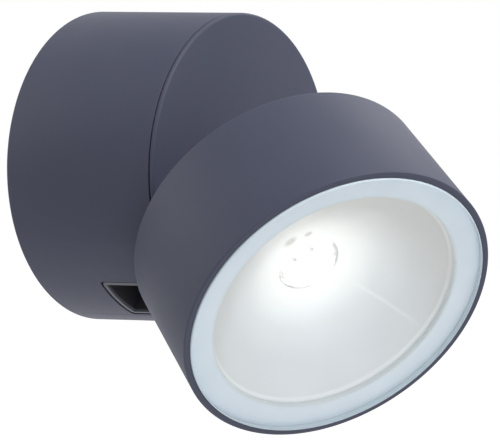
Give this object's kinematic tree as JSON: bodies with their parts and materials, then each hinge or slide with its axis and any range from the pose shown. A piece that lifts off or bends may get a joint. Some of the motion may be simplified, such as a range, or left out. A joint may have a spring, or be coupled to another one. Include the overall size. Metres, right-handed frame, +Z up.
{
  "type": "pivoting spotlight wall light",
  "caption": "Round wall spotlight: a short can turns on a wall plate, and a round lamp head of the same width swings out on a hidden hinge.",
  "frame": {"origin": "centre of the wall side, in the plane of the wall, on the can's axis", "axes": "+Y into the wall, +Z up, the lamp stands out towards -Y"},
  "size_m": [0.1338, 0.1541, 0.1431],
  "materials": {
    "cast_paint": "fine matte anthracite powder coat",
    "liner_paint": "matte grey liner",
    "zinc": "raw pressure casting",
    "steel": "zinc plated",
    "rubber": "soft black",
    "acetal": "smooth natural white",
    "brass": "turned",
    "case_plastic": "moulded white",
    "circuit_board": "green solder mask",
    "components": "moulded black",
    "terminal_plastic": "ivory moulded",
    "wire_brown": "brown insulation",
    "wire_white": "white insulation",
    "sink_metal": "bare extrusion",
    "led_board_white": "white solder mask on metal",
    "phosphor": "yellow phosphor",
    "lens_clear": "clear moulded lens",
    "reflector_white": "matte white",
    "front_glass": "clear hardened glass",
    "border_print": "fired print behind the glass",
    "silicone": "pale silicone bead"
  },
  "bodies": {
    "wall_mount": {"wall_plate": "zinc", "pan_spindle": "steel", "wall_gasket": "rubber", "pan_seal": "rubber", "cable_grommet": "rubber", "pan_washer": "acetal", "hub_clip": "steel"},
    "base": {"carrier_ring": "zinc", "base_housing": "cast_paint", "lock_screws": "steel", "front_cover": "cast_paint", "cover_seal": "rubber", "cover_screws": "steel", "slot_liner": "liner_paint", "liner_screws": "steel", "hinge_bracket": "steel", "bracket_screws": "steel", "hinge_bushes": "brass", "driver_case": "case_plastic", "driver_lid": "case_plastic", "driver_board": "circuit_board", "driver_components": "components", "driver_screws": "steel", "terminal_block": "terminal_plastic", "terminal_screws": "brass", "earth_screw": "brass", "supply_leads": "wire_brown", "driver_lead": "wire_white"},
    "head": {"hinge_arm": "cast_paint", "arm_screws": "steel", "hinge_pin": "steel", "pin_nut": "steel", "spring_washer": "steel", "friction_washers": "acetal", "head_housing": "cast_paint", "heat_sink": "sink_metal", "sink_screws": "steel", "thermal_pad": "silicone", "led_board": "led_board_white", "led_chips": "phosphor", "board_screws": "steel", "lens_holder": "case_plastic", "led_lens": "lens_clear", "reflector": "reflector_white", "front_glass": "front_glass", "glass_border": "border_print", "glass_bond": "silicone", "head_lead": "wire_white", "lead_grommet": "rubber"}
  },
  "joints": [
    {"name": "pan", "type": "hinge", "parent": "wall_mount", "child": "base", "pos_m": [0, 0, 0], "axis": [0, 1, 0], "range_deg": [-175, 175]},
    {"name": "tilt", "type": "hinge", "parent": "base", "child": "head", "pos_m": [-0.02114, -0.0459, -0.03218], "axis": [0.8358, 0, -0.549], "range_deg": [-42.6, 47.4]}
  ]
}
